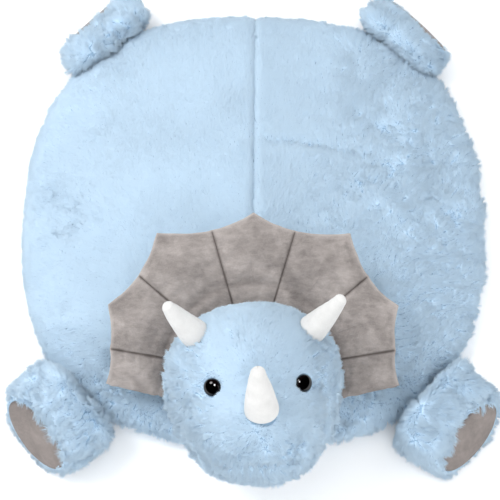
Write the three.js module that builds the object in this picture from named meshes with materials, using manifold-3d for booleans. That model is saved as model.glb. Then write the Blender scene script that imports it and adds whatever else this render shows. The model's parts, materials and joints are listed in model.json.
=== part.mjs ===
// Plush triceratops play mat: a round padded mat with a stuffed head lying on its front edge, a
// quilted frill behind the head and four stuffed feet around the rim.
// Millimetres, +Z up, the head towards -Y. The origin is at floor level, under the middle of the
// whole toy, so the middle of the mat lies a little behind it.
import * as THREE from 'three';
import { mergeVertices } from 'three/addons/utils/BufferGeometryUtils.js';
import Module from 'manifold-3d';

// ---- Fabrics --------------------------------------------------------------------------------
const GAP = 0.3; // clearance left where two pieces touch
const PLUSH = 6; // long-pile plush, backing and pile together
const BACKING = 1.5; // the knitted backing of the plush alone
const PLAIN = 2.5; // short-nap fabric of the underside, soles and frill
const FELT = 1.2; // felt of the horns
// ---- Mat ------------------------------------------------------------------------------------
const MAT_HALF_X = 341;
const MAT_HALF_Y = 344;
const MAT_SQUARENESS = 2.5; // exponent of the superellipse outline, 2 is a plain ellipse
const MAT_RIM_TOP = 37; // top of the rounded rim
const MAT_CROWN = 42; // height in the middle
const MAT_RIM_WIDTH = 24; // how far in from the edge the rim's curve runs
const MAT_SEAM_Z = 13; // height of the seam between the top panels and the underside
const MAT_CENTRE_Y = 28;
const MAT_SHOULDER = 0.55; // share of the radius inside which the top is nearly level
const MAT_SHOULDER_DROP = 1; // how far the top has fallen there
const MAT_RIM_STEPS = 6;
const MAT_SEGMENTS = 40;

// ---- Head -----------------------------------------------------------------------------------
// Head axes: x to the toy's left, y up the face towards the crown, z out of the face.
const HEAD_CENTRE = new THREE.Vector3(0, -271, 126); // from the middle of the mat
const FACE_ELEVATION = 57; // degrees that the face looks up
const HEAD_YAW = 5; // degrees that the face is turned to the toy's left
const HEAD_ROLL = 1.5; // degrees that the crown leans to the toy's right
const CRANIUM = new THREE.Vector3(122, 101, 101);
const MUZZLE_CENTRE = new THREE.Vector3(0, -57, 80);
const MUZZLE = new THREE.Vector3(84, 65, 60);
const JAW_CENTRE = new THREE.Vector3(0, -61, 28);
const JAW = new THREE.Vector3(102, 71, 62);
const HEAD_BLEND = 9; // higher numbers give a sharper crease between the three rounds
const HEAD_BASE_Z = MAT_CROWN + GAP;
const HEAD_SEGMENTS = 26;
const HEAD_RINGS = 16;
const GUSSET_HALF_WIDTH = 30; // the strip from the nose over the crown
const BACK_PANEL_Z = -22; // the back panel starts this far behind the head's middle
const CHIN_PANEL_Y = -84; // the chin panel lies below this line

// ---- Eyes and horns -------------------------------------------------------------------------
const EYE_SPOT = new THREE.Vector3(60, 10, 86);
const EYE_RADIUS = 12;
const EYE_DOME = 8.5;
const EYE_EDGE = 1.5;
const SHANK_RADIUS = 2.6;
const SHANK_LENGTH = 14;
const WASHER_RADIUS = 10;
const WASHER_THICKNESS = 2;
const WASHER_DEPTH = 4; // below the seat of the eye
const HORN_SEGMENTS = 12;
const HORN_STEPS = 5; // rings along a horn
const EYE_STEPS = 4; // rings over an eye's dome
const EYE_BORE = 50; // length of the cutters for an eye's pocket, more than the plush is deep
const HORN_FULLNESS = 1.4; // 1 is a straight cone, more swells the horn's middle
const NOSE_HORN = {
  spot: new THREE.Vector3(0, -10, 135),
  direction: new THREE.Vector3(-0.09, 0.8, 0.6),
  length: 86,
  radius: 22.5,
  tip: 10,
  bend: 0,
};
const BROW_HORN = {
  spot: new THREE.Vector3(79, 70, 32),
  direction: new THREE.Vector3(0.62, 0.69, 0.37),
  length: 71,
  radius: 19.5,
  tip: 8.5,
  bend: 5,
};

// ---- Frill ----------------------------------------------------------------------------------
// The frill turns about the cranium's own x axis, so its flat lies a little behind that axis.
const FRILL_TILT = 14; // degrees that the frill's rear edge rises
const FRILL_PLANE_Z = -44;
const FRILL_THICKNESS = 14;
const FRILL_FAN_Y = 6; // the point that the seams of the fan run to
const FRILL_TIPS = [[0, 224], [34.7, 237], [65, 222], [94.6, 203]]; // degrees from the top, radius
const FRILL_SEAMS = [[16.4, 207], [49.8, 209], [80.7, 200]];
const FRILL_FOOT = new THREE.Vector2(90, -31); // where the lower edge meets the head
const FRILL_PAD_INNER = 124; // radius where the padded channels start
const FRILL_EDGE = 8; // flat margin round each padded channel's outer end
const FRILL_STITCH = 2.5; // half the flat strip along each seam
const FRILL_CLEARANCE = 4; // between the frill and the cranium

// ---- Feet -----------------------------------------------------------------------------------
const FOOT_WIDEST = 16; // how far out from the hinge a foot is at its widest
const FOOT_TUCK = 6; // how far a foot's inner end reaches past its hinge
const FOOT_CENTRE = 0.455; // height of a foot's widest level, as a share of the foot's height
const SOLE_LEAN = 32; // degrees that the sole leans back
const SOLE_MARGIN = 16; // from the foot's side to the sole's
const SOLE_HALF_HEIGHT = 0.378; // as a share of the foot's height
const SOLE_SETBACK = 3.5; // from the foot's full length to the sole's plane at floor level
const FOOT_SEGMENTS = 16;
const FOOT_RINGS = 10;
const SOLE_SEGMENTS = 12; // per half of the sole's oval
const FOOT_GAP = 2; // between a foot and the mat
// place: degrees round the mat from +X. facing: degrees that the foot points. twist: degrees that
// its sole is turned from there. bluntness: exponent of the foot's rounded block, 2 is an ellipsoid.
// sewnIn: from the rim of the mat to the hinge on its top. The other sizes are the foot's own.
const FRONT_FOOT = { length: 110, halfWidth: 74, height: 92, bluntness: 3.2, sewnIn: 0 };
const HIND_FOOT = { length: 78, halfWidth: 77, height: 64, bluntness: 2.4, sewnIn: 12 };
const FEET = [
  { name: 'foot_front_left', place: -49.4, facing: -41, twist: 0, ...FRONT_FOOT },
  { name: 'foot_front_right', place: 229.4, facing: 221, twist: 0, ...FRONT_FOOT },
  { name: 'foot_hind_left', place: 53.4, facing: 46, twist: -3, ...HIND_FOOT },
  { name: 'foot_hind_right', place: 126.6, facing: 134, twist: 3, ...HIND_FOOT },
];

// ---- Materials ------------------------------------------------------------------------------
function cloth(color, roughness = 0.95) {
  return new THREE.MeshStandardMaterial({ color, roughness, metalness: 0 });
}
const BLUE_PLUSH = cloth('#bcd9f0');
const GREY_VELOUR = cloth('#9d958f', 0.9);
const WHITE_FELT = cloth('#f3f3f2', 0.9);
const STUFFING = cloth('#f0efec', 1);
const EYE_PLASTIC = cloth('#15100f', 0.08);
const WASHER_PLASTIC = cloth('#e4e4e0', 0.45);

// ---- Solids ---------------------------------------------------------------------------------
const wasm = await Module();
wasm.setup();

// A closed three.js geometry as a solid, with its double points joined and its slivers dropped.
function solid(geometry) {
  const bare = geometry.clone();
  bare.deleteAttribute('normal');
  bare.deleteAttribute('uv');
  const merged = mergeVertices(bare, 1e-3);
  const corners = merged.index.array;
  const kept = [];
  for (let i = 0; i < corners.length; i += 3) {
    const [a, b, c] = [corners[i], corners[i + 1], corners[i + 2]];
    if (a !== b && b !== c && c !== a) {
      kept.push(a, b, c);
    }
  }
  const vertProperties = new Float32Array(merged.attributes.position.array);
  const triVerts = new Uint32Array(kept);
  return new wasm.Manifold(new wasm.Mesh({ numProp: 3, vertProperties, triVerts }));
}

function geometryOf(body) {
  const { vertProperties, triVerts } = body.getMesh();
  const geometry = new THREE.BufferGeometry();
  geometry.setAttribute('position', new THREE.BufferAttribute(vertProperties, 3));
  geometry.setIndex(new THREE.BufferAttribute(triVerts, 1));
  geometry.computeVertexNormals();
  return geometry;
}

function add(group, name, body, material) {
  const mesh = new THREE.Mesh(geometryOf(body), material);
  mesh.name = name;
  group.add(mesh);
  return mesh;
}

function box(low, high) {
  const size = high.map((value, i) => value - low[i]);
  const middle = high.map((value, i) => (value + low[i]) / 2);
  return new THREE.BoxGeometry(...size).translate(...middle);
}

function lathe(profile, segments) {
  const points = profile.map(([radius, height]) => new THREE.Vector2(radius, height));
  return new THREE.LatheGeometry(points, segments).rotateX(Math.PI / 2);
}

// A solid of revolution or a cutter moved from the z axis to a seat on the head.
function seated(geometry, seat) {
  return solid(geometry.clone().applyMatrix4(seat));
}

const FAR = 500; // half the size of a cutter that reaches past everything

// ---- Mat ------------------------------------------------------------------------------------
function matRadius(angle) {
  const x = Math.abs(Math.cos(angle)) / MAT_HALF_X;
  const y = Math.abs(Math.sin(angle)) / MAT_HALF_Y;
  return (x ** MAT_SQUARENESS + y ** MAT_SQUARENESS) ** (-1 / MAT_SQUARENESS);
}

// The mat's round, inset by the same amount on its edge and top and by its own on the underside.
function matSolid(inset, floor) {
  const edge = MAT_HALF_X - inset;
  const top = MAT_RIM_TOP - inset;
  const middle = (top + floor) / 2;
  const half = (top - floor) / 2;
  const profile = [[0, floor], [edge - MAT_RIM_WIDTH, floor]];
  for (let i = 1; i < MAT_RIM_STEPS; i += 1) {
    const turn = -Math.PI / 2 + (Math.PI * i) / MAT_RIM_STEPS;
    profile.push([edge - MAT_RIM_WIDTH * (1 - Math.cos(turn)), middle + half * Math.sin(turn)]);
  }
  profile.push([edge - MAT_RIM_WIDTH, top]);
  profile.push([edge * MAT_SHOULDER, MAT_CROWN - inset - MAT_SHOULDER_DROP]);
  profile.push([0, MAT_CROWN - inset]);
  const geometry = lathe(profile, MAT_SEGMENTS);
  const position = geometry.attributes.position;
  for (let i = 0; i < position.count; i += 1) {
    const [x, y] = [position.getX(i), position.getY(i)];
    const stretch = matRadius(Math.atan2(y, x)) / MAT_HALF_X;
    position.setXY(i, x * stretch, y * stretch);
  }
  return solid(geometry);
}

function buildMat() {
  const group = new THREE.Group();
  const skin = matSolid(0, 0).subtract(matSolid(PLUSH, PLAIN));
  const halves = {
    mat_top_left: box([GAP / 2, -FAR, MAT_SEAM_Z], [FAR, FAR, FAR]),
    mat_top_right: box([-FAR, -FAR, MAT_SEAM_Z], [-GAP / 2, FAR, FAR]),
    mat_underside: box([-FAR, -FAR, -FAR], [FAR, FAR, MAT_SEAM_Z - GAP]),
  };
  for (const [name, half] of Object.entries(halves)) {
    add(group, name, skin.intersect(solid(half)), BLUE_PLUSH);
  }
  add(group, 'mat_batting', matSolid(PLUSH + GAP, PLAIN + GAP), STUFFING);
  return group;
}

// ---- Head -----------------------------------------------------------------------------------
// How far a ray from the head's middle runs before it leaves an ellipsoid for the last time.
function exitDistance(direction, centre, radii) {
  const ray = direction.clone().divide(radii);
  const shift = centre.clone().divide(radii);
  const a = ray.dot(ray);
  const b = ray.dot(shift);
  const root = b * b - a * (shift.dot(shift) - 1);
  return root < 0 ? 0 : Math.max(0, (b + Math.sqrt(root)) / a);
}

function headRadius(direction) {
  const rounds = [
    exitDistance(direction, new THREE.Vector3(), CRANIUM),
    exitDistance(direction, MUZZLE_CENTRE, MUZZLE),
    exitDistance(direction, JAW_CENTRE, JAW),
  ];
  const sum = rounds.reduce((total, distance) => total + distance ** HEAD_BLEND, 0);
  return sum ** (1 / HEAD_BLEND);
}

const HEAD_TURN = new THREE.Euler(
  THREE.MathUtils.degToRad(90 - FACE_ELEVATION),
  THREE.MathUtils.degToRad(HEAD_YAW),
  THREE.MathUtils.degToRad(HEAD_ROLL),
);

// The head's round, inset by a thickness and cut off level where it lies on the mat.
function headSolid(inset, base) {
  const geometry = new THREE.SphereGeometry(1, HEAD_SEGMENTS, HEAD_RINGS);
  const position = geometry.attributes.position;
  const direction = new THREE.Vector3();
  for (let i = 0; i < position.count; i += 1) {
    direction.fromBufferAttribute(position, i).normalize();
    direction.multiplyScalar(headRadius(direction) - inset);
    position.setXYZ(i, direction.x, direction.y, direction.z);
  }
  const below = box([-FAR, -FAR, -FAR], [FAR, FAR, HEAD_BASE_Z + base - HEAD_CENTRE.z]);
  below.applyMatrix4(new THREE.Matrix4().makeRotationFromEuler(HEAD_TURN).invert());
  return solid(geometry).subtract(solid(below));
}

// The frame of a seat on the head: its z axis points outwards along the given direction, and its
// origin is on the backing of the plush, below the spot's place on the outside.
function seatAt(spot, outwards) {
  const ray = spot.clone().normalize();
  const point = ray.clone().multiplyScalar(headRadius(ray));
  const axis = outwards.clone().normalize();
  point.addScaledVector(axis, -(PLUSH - BACKING));
  const turn = new THREE.Quaternion().setFromUnitVectors(new THREE.Vector3(0, 0, 1), axis);
  return new THREE.Matrix4().compose(point, turn, new THREE.Vector3(1, 1, 1));
}

// Outward normal of the head at a spot, from the slope of its radius.
function headNormal(spot) {
  const step = 0.01;
  const points = [[0, 0], [step, 0], [0, step]].map(([across, up]) => {
    const ray = spot.clone().normalize().add(new THREE.Vector3(across, up, 0)).normalize();
    return ray.multiplyScalar(headRadius(ray));
  });
  const [middle, right, above] = points;
  return right.sub(middle).cross(above.sub(middle)).normalize();
}

function eyeBody() {
  const profile = [[0, -SHANK_LENGTH], [SHANK_RADIUS, -SHANK_LENGTH], [SHANK_RADIUS, GAP]];
  profile.push([EYE_RADIUS, GAP], [EYE_RADIUS, EYE_EDGE]);
  for (let i = 1; i <= EYE_STEPS; i += 1) {
    const turn = (Math.PI / 2) * (i / EYE_STEPS);
    profile.push([EYE_RADIUS * Math.cos(turn), EYE_EDGE + (EYE_DOME - EYE_EDGE) * Math.sin(turn)]);
  }
  profile.at(-1)[0] = 0;
  return lathe(profile, HORN_SEGMENTS);
}

function disc(radius, low, high) {
  return lathe([[0, low], [radius, low], [radius, high], [0, high]], HORN_SEGMENTS);
}

function washerBody() {
  const [low, high] = [-WASHER_DEPTH - WASHER_THICKNESS, -WASHER_DEPTH];
  const hole = SHANK_RADIUS + GAP;
  return lathe([[hole, low], [WASHER_RADIUS, low], [WASHER_RADIUS, high], [hole, high], [hole, low]],
    HORN_SEGMENTS);
}

// A horn's blunt cone standing on its seat, inset by a thickness and bent sideways towards -x.
function hornBody(horn, inset, base) {
  const length = horn.length - inset;
  const radius = horn.radius - inset;
  const tip = horn.tip;
  const profile = [[0, base], [radius, base]];
  const shoulder = length - tip;
  for (let i = 1; i <= HORN_STEPS; i += 1) {
    const along = i / HORN_STEPS;
    profile.push([radius + (tip - radius) * along ** HORN_FULLNESS, base + (shoulder - base) * along]);
  }
  const eighth = tip * Math.SQRT1_2; // sine and cosine of an eighth of a turn, times the radius
  profile.push([eighth, shoulder + eighth], [0, length]);
  const geometry = lathe(profile, HORN_SEGMENTS);
  const position = geometry.attributes.position;
  for (let i = 0; i < position.count; i += 1) {
    const along = Math.max(0, position.getZ(i)) / horn.length;
    position.setX(i, position.getX(i) - horn.bend * along ** 2);
  }
  return geometry;
}

function mirrored(vector, side) {
  return new THREE.Vector3(vector.x * side, vector.y, vector.z);
}

// Faces turned round, for a geometry that is about to be mirrored.
function flipped(geometry) {
  const turned = geometry.clone();
  const index = turned.index.array;
  for (let i = 0; i < index.length; i += 3) {
    [index[i], index[i + 1]] = [index[i + 1], index[i]];
  }
  return turned;
}

function buildHead() {
  const group = new THREE.Group();
  group.position.copy(HEAD_CENTRE);
  group.rotation.copy(HEAD_TURN);

  let skin = headSolid(0, 0).subtract(headSolid(PLUSH, PLAIN));
  let stuffing = headSolid(PLUSH + GAP, PLAIN + GAP);

  const horns = [{ name: 'nose_horn', side: 1, shape: NOSE_HORN }];
  const eyes = [];
  for (const [label, side] of [['left', 1], ['right', -1]]) {
    horns.push({ name: `brow_horn_${label}`, side, shape: BROW_HORN });
    eyes.push({ label, seat: seatAt(mirrored(EYE_SPOT, side), headNormal(mirrored(EYE_SPOT, side))) });
  }

  for (const { name, side, shape } of horns) {
    const seat = seatAt(mirrored(shape.spot, side), mirrored(shape.direction, side));
    const hollow = hornBody(shape, FELT, -FELT);
    const flip = new THREE.Matrix4().makeScale(side, 1, 1);
    const outside = hornBody(shape, 0, GAP);
    const filling = hornBody(shape, FELT + GAP, 2 * GAP);
    const seatFlipped = seat.clone().multiply(flip);
    const turn = (geometry) => (side > 0 ? geometry : flipped(geometry));
    const cover = seated(turn(outside), seatFlipped).subtract(seated(turn(hollow), seatFlipped));
    add(group, name, cover, WHITE_FELT);
    add(group, `${name}_stuffing`, seated(turn(filling), seatFlipped), STUFFING);
    skin = skin.subtract(seated(disc(shape.radius + GAP, 0, shape.length), seat));
    stuffing = stuffing.subtract(seated(disc(shape.radius + GAP, 0, shape.length), seat));
  }

  for (const { label, seat } of eyes) {
    add(group, `eye_${label}`, seated(eyeBody(), seat), EYE_PLASTIC);
    add(group, `eye_washer_${label}`, seated(washerBody(), seat), WASHER_PLASTIC);
    skin = skin.subtract(seated(disc(EYE_RADIUS + GAP, 0, EYE_BORE), seat));
    skin = skin.subtract(seated(disc(WASHER_RADIUS + GAP, -EYE_BORE, -BACKING - GAP), seat));
    skin = skin.subtract(seated(disc(SHANK_RADIUS + GAP, -EYE_BORE, GAP), seat));
    stuffing = stuffing.subtract(seated(disc(WASHER_RADIUS + GAP, -SHANK_LENGTH - GAP, 0), seat));
    stuffing = stuffing.subtract(seated(disc(EYE_RADIUS + GAP, -BACKING, EYE_BORE), seat));
  }

  const half = GAP / 2;
  const [gusset, back, chin] = [GUSSET_HALF_WIDTH, BACK_PANEL_Z, CHIN_PANEL_Y];
  const panels = {
    head_back_panel: box([-FAR, -FAR, -FAR], [FAR, FAR, back - half]),
    head_chin_panel: box([-FAR, -FAR, back + half], [FAR, chin - half, FAR]),
    head_gusset: box([half - gusset, chin + half, back + half], [gusset - half, FAR, FAR]),
    head_side_left: box([gusset + half, chin + half, back + half], [FAR, FAR, FAR]),
    head_side_right: box([-FAR, chin + half, back + half], [-gusset - half, FAR, FAR]),
  };
  for (const [name, panel] of Object.entries(panels)) {
    add(group, name, skin.intersect(solid(panel)), BLUE_PLUSH);
  }
  add(group, 'head_stuffing', stuffing, STUFFING);
  return group;
}

// ---- Frill ----------------------------------------------------------------------------------
function fanPoint(degrees, radius) {
  const angle = THREE.MathUtils.degToRad(degrees);
  return new THREE.Vector2(radius * Math.sin(angle), FRILL_FAN_Y + radius * Math.cos(angle));
}

// Tips and valleys of the scalloped edge in turn, from the top down one side.
function fanSide(side) {
  const points = [];
  FRILL_TIPS.forEach(([degrees, radius], i) => {
    points.push(fanPoint(side * degrees, radius));
    if (i < FRILL_SEAMS.length) {
      points.push(fanPoint(side * FRILL_SEAMS[i][0], FRILL_SEAMS[i][1]));
    }
  });
  return points;
}

function extruded(points, low, high) {
  const shape = new THREE.Shape(points);
  const settings = { depth: high - low, bevelEnabled: false };
  return new THREE.ExtrudeGeometry(shape, settings).translate(0, 0, low);
}

// The padded channel between two seams of the fan, or between the last seam and the lower edge.
function channelPoints(index, inset) {
  const seams = FRILL_SEAMS.map(([degrees]) => degrees);
  const borders = [-FRILL_TIPS[3][0], ...seams.map((a) => -a).reverse(), ...seams, FRILL_TIPS[3][0]];
  const [start, end] = [borders[index], borders[index + 1]];
  const radiusAt = (degrees) => {
    const all = [...FRILL_TIPS, ...FRILL_SEAMS];
    return all.find(([angle]) => angle === Math.abs(degrees))[1] - FRILL_EDGE - inset;
  };
  const inner = FRILL_PAD_INNER + inset;
  const margin = (radius) => THREE.MathUtils.radToDeg((FRILL_STITCH + inset) / radius);
  const tip = FRILL_TIPS.map(([a]) => a).flatMap((a) => [a, -a]).find((a) => a > start && a < end);
  const edgeMargin = (degrees, radius) => {
    const atCorner = Math.abs(degrees) === FRILL_TIPS[3][0];
    return margin(radius) * (atCorner ? FRILL_EDGE / FRILL_STITCH : 1);
  };
  const points = [];
  const arc = 4;
  for (let i = 0; i <= arc; i += 1) {
    const from = start + edgeMargin(start, inner);
    const to = end - edgeMargin(end, inner);
    points.push(fanPoint(from + ((to - from) * i) / arc, inner));
  }
  points.push(fanPoint(end - edgeMargin(end, radiusAt(end)), radiusAt(end)));
  if (tip !== undefined) {
    points.push(fanPoint(tip, radiusAt(tip)));
  }
  points.push(fanPoint(start + edgeMargin(start, radiusAt(start)), radiusAt(start)));
  return points;
}

function buildFrill() {
  const group = new THREE.Group();
  group.position.copy(HEAD_CENTRE);
  group.rotation.x = THREE.MathUtils.degToRad(FRILL_TILT);

  const low = FRILL_PLANE_Z - FRILL_THICKNESS / 2;
  const high = FRILL_PLANE_Z + FRILL_THICKNESS / 2;
  const right = fanSide(1);
  const left = fanSide(-1).slice(1).reverse();
  const foot = FRILL_FOOT;
  const outline = [...left, ...right, foot, new THREE.Vector2(-foot.x, foot.y)];
  const room = CRANIUM.clone().addScalar(FRILL_CLEARANCE);
  const ball = new THREE.SphereGeometry(1, HEAD_SEGMENTS, HEAD_RINGS).scale(room.x, room.y, room.z);
  let fan = solid(extruded(outline, low, high)).subtract(solid(ball));

  const channels = 2 * FRILL_SEAMS.length + 1;
  for (let i = 0; i < channels; i += 1) {
    fan = fan.subtract(solid(extruded(channelPoints(i, 0), low + PLAIN, high - PLAIN)));
    const pad = extruded(channelPoints(i, GAP), low + PLAIN + GAP, high - PLAIN - GAP);
    add(group, `frill_pad_${i + 1}`, solid(pad), STUFFING);
  }
  const front = box([-FAR, -FAR, FRILL_PLANE_Z + GAP / 2], [FAR, FAR, FAR]);
  const back = box([-FAR, -FAR, -FAR], [FAR, FAR, FRILL_PLANE_Z - GAP / 2]);
  add(group, 'frill_front', fan.intersect(solid(front)), GREY_VELOUR);
  add(group, 'frill_back', fan.intersect(solid(back)), GREY_VELOUR);
  return group;
}

// ---- Feet -----------------------------------------------------------------------------------
// A rounded block from the rim of the mat to the sole, which leans back, standing flat on the floor.
// It is sheared towards its outer end, so that it stays parallel to the twisted sole.
function footSolid(foot, inset) {
  const [inwards, outwards] = [FOOT_WIDEST + FOOT_TUCK - inset, foot.length - FOOT_WIDEST - inset];
  const level = FOOT_CENTRE * foot.height;
  const half = [foot.halfWidth - inset, foot.height - level - inset];
  const shear = Math.tan(THREE.MathUtils.degToRad(foot.twist)) / foot.length;
  const geometry = new THREE.SphereGeometry(1, FOOT_SEGMENTS, FOOT_RINGS).rotateX(Math.PI / 2);
  const position = geometry.attributes.position;
  for (let i = 0; i < position.count; i += 1) {
    const ray = [position.getX(i), position.getY(i), position.getZ(i)];
    const sum = ray.reduce((total, value) => total + Math.abs(value) ** foot.bluntness, 0);
    const reach = sum ** (-1 / foot.bluntness);
    const x = FOOT_WIDEST + ray[0] * reach * (ray[0] < 0 ? inwards : outwards);
    const [y, z] = [ray[1] * reach * half[0], ray[2] * reach * half[1]];
    position.setXYZ(i, x - y * shear * x, y, level + z);
  }
  const floor = inset ? PLAIN + (inset - PLUSH) : 0;
  const under = box([-FAR, -FAR, -FAR], [FAR, FAR, floor]);
  const beyond = box([-inset, -FAR, -FAR], [FAR, FAR, FAR]);
  beyond.applyMatrix4(soleFrame(foot));
  return solid(geometry).subtract(solid(under)).subtract(solid(beyond));
}

// The sole's plane: x out of the sole, y across it and z up it.
function soleFrame({ length, twist, height }) {
  const lean = THREE.MathUtils.degToRad(SOLE_LEAN);
  const level = FOOT_CENTRE * height;
  const out = length - SOLE_SETBACK - level * Math.tan(lean);
  const tilt = new THREE.Matrix4().makeRotationY(-lean);
  const turn = new THREE.Matrix4().makeRotationZ(THREE.MathUtils.degToRad(twist));
  return new THREE.Matrix4().makeTranslation(out, 0, level).multiply(turn).multiply(tilt);
}

// An oval plug through the sole, between two depths measured out of the sole's plane.
function soleOval(foot, grow, inside, outside) {
  const oval = new THREE.Shape();
  const across = foot.halfWidth - SOLE_MARGIN + grow;
  oval.absellipse(0, 0, across, SOLE_HALF_HEIGHT * foot.height + grow, 0, 2 * Math.PI);
  const settings = { depth: outside - inside, bevelEnabled: false, curveSegments: SOLE_SEGMENTS };
  const geometry = new THREE.ExtrudeGeometry(oval, settings).translate(0, 0, inside);
  geometry.rotateX(Math.PI / 2).rotateZ(Math.PI / 2);
  return solid(geometry.applyMatrix4(soleFrame(foot)));
}

function buildFoot(foot) {
  const group = new THREE.Group();
  const angle = THREE.MathUtils.degToRad(foot.place);
  const reach = matRadius(angle) + FOOT_GAP - foot.sewnIn;
  group.position.set(reach * Math.cos(angle), reach * Math.sin(angle), 0);
  group.rotation.z = THREE.MathUtils.degToRad(foot.facing);
  group.updateMatrix();
  const outside = (grow) => matSolid(-grow, -grow).transform(group.matrix.clone().invert().elements);
  const shell = footSolid(foot, 0).subtract(footSolid(foot, PLUSH).subtract(outside(FOOT_GAP + PLUSH)));
  const cover = shell.subtract(outside(FOOT_GAP)).subtract(soleOval(foot, GAP, -2 * PLUSH, PLUSH));
  add(group, `${foot.name}_cover`, cover, BLUE_PLUSH);
  add(group, `${foot.name}_sole`, soleOval(foot, 0, -PLUSH, 0), GREY_VELOUR);
  const stuffing = footSolid(foot, PLUSH + GAP).subtract(outside(FOOT_GAP + PLUSH + GAP));
  add(group, `${foot.name}_stuffing`, stuffing, STUFFING);
  return group;
}

// ---- The whole toy --------------------------------------------------------------------------
const toy = new THREE.Group();
toy.position.y = MAT_CENTRE_Y;
toy.add(buildMat(), buildHead(), buildFrill(), ...FEET.map(buildFoot));
const playMat = new THREE.Group();
playMat.add(toy);

export default playMat;
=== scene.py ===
# A plush triceratops play mat: fur, velour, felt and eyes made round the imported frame.
# Metres, +Z up, the head towards -Y, in the same frame as the CAD nodes.
import json
import math

import bmesh
import bpy
import numpy as np
from mathutils import Euler, Matrix, Vector
from mathutils.kdtree import KDTree


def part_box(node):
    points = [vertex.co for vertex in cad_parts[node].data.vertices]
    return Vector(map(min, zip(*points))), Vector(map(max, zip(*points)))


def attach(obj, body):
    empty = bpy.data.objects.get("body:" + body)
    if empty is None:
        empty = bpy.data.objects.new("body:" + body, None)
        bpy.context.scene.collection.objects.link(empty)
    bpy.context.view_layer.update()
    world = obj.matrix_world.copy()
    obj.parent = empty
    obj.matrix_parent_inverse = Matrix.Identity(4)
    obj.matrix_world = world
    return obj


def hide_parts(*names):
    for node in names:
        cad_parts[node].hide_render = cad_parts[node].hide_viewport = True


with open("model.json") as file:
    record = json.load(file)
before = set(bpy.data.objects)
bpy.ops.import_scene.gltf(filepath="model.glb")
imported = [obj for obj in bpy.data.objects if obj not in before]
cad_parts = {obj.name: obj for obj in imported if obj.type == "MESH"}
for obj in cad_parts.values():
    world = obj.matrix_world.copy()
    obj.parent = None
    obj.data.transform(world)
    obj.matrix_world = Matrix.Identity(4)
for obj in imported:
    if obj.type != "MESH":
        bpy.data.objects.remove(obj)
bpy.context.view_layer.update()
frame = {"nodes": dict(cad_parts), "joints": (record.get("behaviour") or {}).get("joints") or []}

MM = 0.001
JOINTS = {j["name"]: j for j in frame["joints"]}
SIDES = (("left", 1), ("right", -1))

# ---- Driving dimensions ----
PILE_ROOM = 5 * MM  # the cloth lies this far inside the CAD surface, and its pile fills the rest
CLOTH = 2.5 * MM  # thickness of the cloth shells
SEAM_GAP = 0.15 * MM  # from each panel's edge to its seam

mat_low, mat_high = (np.array(corner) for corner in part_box("mat_underside"))
MAT_CENTRE = (mat_low + mat_high) / 2 * np.array([1, 1, 0])
MAT_HALF = (mat_high - mat_low)[:2] / 2
MAT_SQUARENESS = 2.5
MAT_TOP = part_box("mat_top_left")[1].z
MAT_RIM_TOP = MAT_TOP - 5 * MM
MAT_RIM_WIDTH = 26 * MM
MAT_SEAM_Z = mat_high[2]

HEAD_CENTRE = np.array(JOINTS["frill_fold"]["pos_m"])
HEAD_TURN = Euler((math.radians(33), 0, 0)).to_matrix() @ Euler((0, math.radians(5), 0)).to_matrix()
HEAD_TURN = HEAD_TURN @ Euler((0, 0, math.radians(1.5))).to_matrix()
HEAD_ROUNDS = (
    (np.array([0, 0, 0]) * MM, np.array([122, 101, 101]) * MM),
    (np.array([0, -57, 80]) * MM, np.array([84, 65, 60]) * MM),
    (np.array([0, -61, 28]) * MM, np.array([102, 71, 62]) * MM),
)
HEAD_BLEND = 9
HEAD_BASE_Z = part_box("head_back_panel")[0].z
GUSSET_HALF_WIDTH = 30 * MM
BACK_PANEL_Z = -22 * MM
CHIN_PANEL_Y = -84 * MM
EYE_SPOT = np.array([60, 10, 86]) * MM
EYE_RADIUS = 12 * MM
EYE_DOME = 8.5 * MM
SEAT_DEPTH = 4.5 * MM  # eyes and horns are sewn to the backing, this far below the pile's surface
NOSE_HORN = dict(spot=(0, -10, 135), aim=(-0.09, 0.8, 0.6), length=86, radius=22.5, tip=10, bend=0)
BROW_HORN = dict(spot=(79, 70, 32), aim=(0.62, 0.69, 0.37), length=71, radius=19.5, tip=8.5, bend=5)
HORN_FULLNESS = 1.4

FRILL_COS, FRILL_SIN = math.cos(math.radians(14)), math.sin(math.radians(14))
FRILL_TURN = ((1, 0, 0), (0, FRILL_COS, -FRILL_SIN), (0, FRILL_SIN, FRILL_COS))
FRILL_PLANE_Z = -44 * MM
FRILL_THICKNESS = 14 * MM
FRILL_FAN_Y = 6 * MM
FRILL_TIPS = ((0, 224), (34.7, 237), (65, 222), (94.6, 203))
FRILL_SEAMS = ((16.4, 207), (49.8, 209), (80.7, 200))
FRILL_HEAD_HOLE = np.array([115, 96]) * MM  # the cranium's outline in the frill's plane
FRILL_FOOT_ANGLE = math.radians(109.5)  # where the lower edge meets that outline
FRILL_CREASE = 124 * MM  # radius of the sewn arc round the head

FOOT_WIDEST = 16 * MM  # how far out from the hinge a foot is at its widest
FOOT_TUCK = 6 * MM  # how far its inner end reaches past the hinge
FOOT_CLEAR = 2 * MM  # between a foot's cloth and the mat's CAD surface
SOLE_LEAN = math.radians(32)
SOLE_SETBACK = 3.5 * MM
FRONT_FOOT = dict(length=110 * MM, half_width=74 * MM, height=92 * MM, bluntness=3.2)
HIND_FOOT = dict(length=78 * MM, half_width=77 * MM, height=64 * MM, bluntness=2.4)
FEET = {
    "foot_front_left": dict(FRONT_FOOT, twist=0),
    "foot_front_right": dict(FRONT_FOOT, twist=0),
    "foot_hind_left": dict(HIND_FOOT, twist=math.radians(-3)),
    "foot_hind_right": dict(HIND_FOOT, twist=math.radians(3)),
}
for foot in FEET.values():
    foot["level"] = 0.455 * foot["height"]
    foot["sole"] = np.array([foot["half_width"] - 16 * MM, 0.378 * foot["height"]])


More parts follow.
